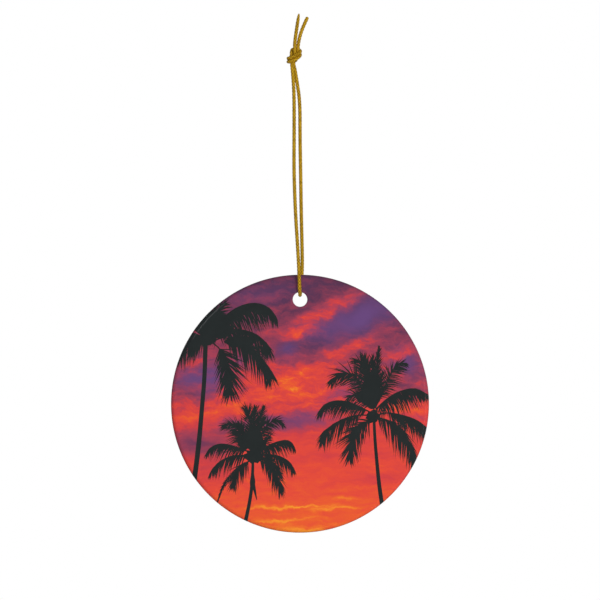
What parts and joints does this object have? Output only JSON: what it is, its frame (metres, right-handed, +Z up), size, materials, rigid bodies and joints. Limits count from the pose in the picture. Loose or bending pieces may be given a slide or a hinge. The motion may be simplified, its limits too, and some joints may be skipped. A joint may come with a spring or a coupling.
{
  "type": "hanging ceramic ornament",
  "caption": "Round glazed ceramic ornament with a printed sunset and palm trees, hung on a knotted loop of gold cord.",
  "frame": {"origin": "the hanging point: the inside top of the cord loop, just under the knot, where a hook goes through", "axes": "+Z up, +Y out of the plain back of the disc, so that the printed face looks along -Y, and +X to the right of someone who looks at the printed face"},
  "size_m": [0.073, 0.0054, 0.147],
  "materials": {
    "white_ceramic": "white gloss glaze",
    "printed_glaze": "gloss glaze over a printed sunset picture",
    "gold_cord": "braided gold metallic thread"
  },
  "bodies": {
    "knot": {"cord_knot": "gold_cord", "cord_tail_straight": "gold_cord", "cord_tail_curved": "gold_cord"},
    "upper_cord": {"cord_front_strand": "gold_cord", "cord_back_strand": "gold_cord"},
    "lower_cord": {"cord_loop": "gold_cord"},
    "disc": {"ceramic_disc": "white_ceramic", "printed_coat": "printed_glaze"}
  },
  "joints": [
    {"name": "cord_sway", "type": "hinge", "parent": "knot", "child": "upper_cord", "pos_m": [0, 0, 0], "axis": [1, 0, 0], "range_deg": [-60, 60]},
    {"name": "cord_twist", "type": "hinge", "parent": "upper_cord", "child": "lower_cord", "pos_m": [0.0016, 0, -0.014], "axis": [0, 0, 1], "range_deg": [-180, 180]},
    {"name": "disc_swing", "type": "hinge", "parent": "lower_cord", "child": "disc", "pos_m": [0.0016, 0, -0.06475], "axis": [0, 1, 0], "range_deg": [-90, 90]}
  ]
}
